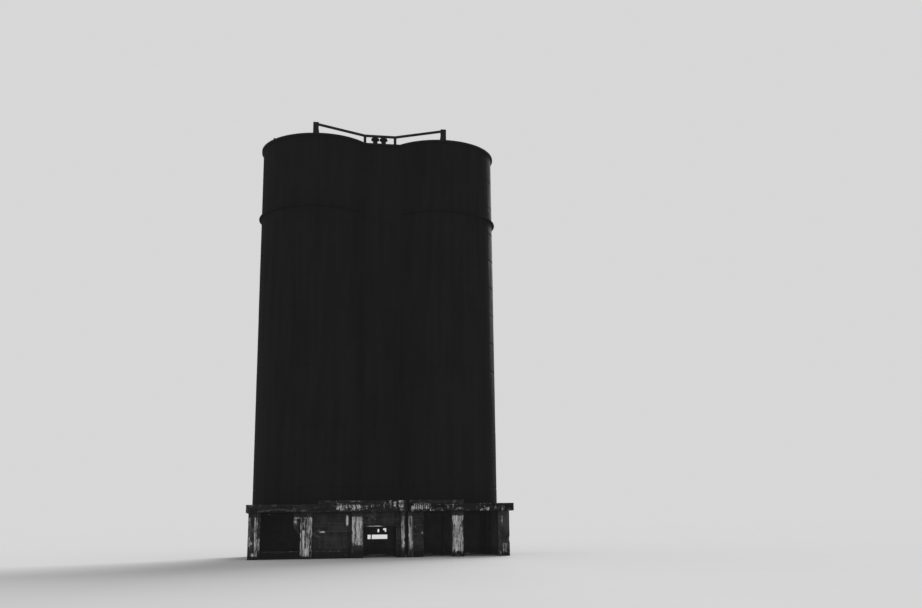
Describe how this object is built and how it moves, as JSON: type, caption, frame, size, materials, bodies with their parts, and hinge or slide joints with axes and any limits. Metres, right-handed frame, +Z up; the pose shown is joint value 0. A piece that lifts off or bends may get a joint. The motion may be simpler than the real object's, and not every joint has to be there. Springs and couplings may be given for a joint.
{
  "type": "twin cylinder concrete silo on a pier table",
  "caption": "Dark coated twin cylinder concrete silo joined by flat pocket walls, on a weathered open pier table with thin infill walls, roof guard rail and mushroom vents.",
  "frame": {"origin": "on the ground, below the middle of the pier table", "axes": "+Z up; front with the infill walls and passage towards -Y; the two bins stand side by side along X"},
  "size_m": [19.46, 10.12, 33.39],
  "materials": {
    "tarred_concrete": "slip formed concrete under a weathered near black coating, matt with faint lift lines",
    "pier_concrete": "board marked concrete with peeling whitewash and dark vertical stains",
    "deck_concrete": "stained concrete with a spalled edge and bare reinforcement",
    "wall_concrete": "dark sooty concrete, matt",
    "dark_steel": "near black weathered paint on steel"
  },
  "bodies": {
    "root": {"deck_curb_left": "deck_concrete", "deck_curb_right": "deck_concrete", "deck_left": "deck_concrete", "deck_right": "deck_concrete", "end_wall_left_front": "wall_concrete", "end_wall_left_rear": "wall_concrete", "end_wall_right_front": "wall_concrete", "end_wall_right_rear": "wall_concrete", "guard_rail": "dark_steel", "jamb_bay_3": "wall_concrete", "ledge_left": "tarred_concrete", "ledge_right": "tarred_concrete", "lintel_bay_3": "wall_concrete", "pier_front_1": "pier_concrete", "pier_front_2": "pier_concrete", "pier_front_3": "pier_concrete", "pier_front_4_left": "pier_concrete", "pier_front_4_right": "pier_concrete", "pier_front_5": "pier_concrete", "pier_front_6": "pier_concrete", "pier_middle_1": "pier_concrete", "pier_middle_2": "pier_concrete", "pier_middle_3": "pier_concrete", "pier_middle_4_left": "pier_concrete", "pier_middle_4_right": "pier_concrete", "pier_middle_5": "pier_concrete", "pier_middle_6": "pier_concrete", "pier_rear_1": "pier_concrete", "pier_rear_2": "pier_concrete", "pier_rear_3": "pier_concrete", "pier_rear_4_left": "pier_concrete", "pier_rear_4_right": "pier_concrete", "pier_rear_5": "pier_concrete", "pier_rear_6": "pier_concrete", "plinth_bay_1": "wall_concrete", "plinth_bay_2": "wall_concrete", "plinth_bay_4": "wall_concrete", "pocket_wall_front": "tarred_concrete", "pocket_wall_rear": "tarred_concrete", "rail_end_left": "dark_steel", "rail_end_right": "dark_steel", "rail_post_left": "dark_steel", "rail_post_right": "dark_steel", "rear_wall_left": "wall_concrete", "rear_wall_right": "wall_concrete", "rim_lug": "dark_steel", "roof_slab": "tarred_concrete", "shell_left": "tarred_concrete", "shell_right": "tarred_concrete", "stub_wall_bay_4": "wall_concrete", "vent_left": "dark_steel", "vent_right": "dark_steel", "wall_bay_2": "wall_concrete", "wall_remnant_bay_1": "wall_concrete"}
  },
  "joints": []
}
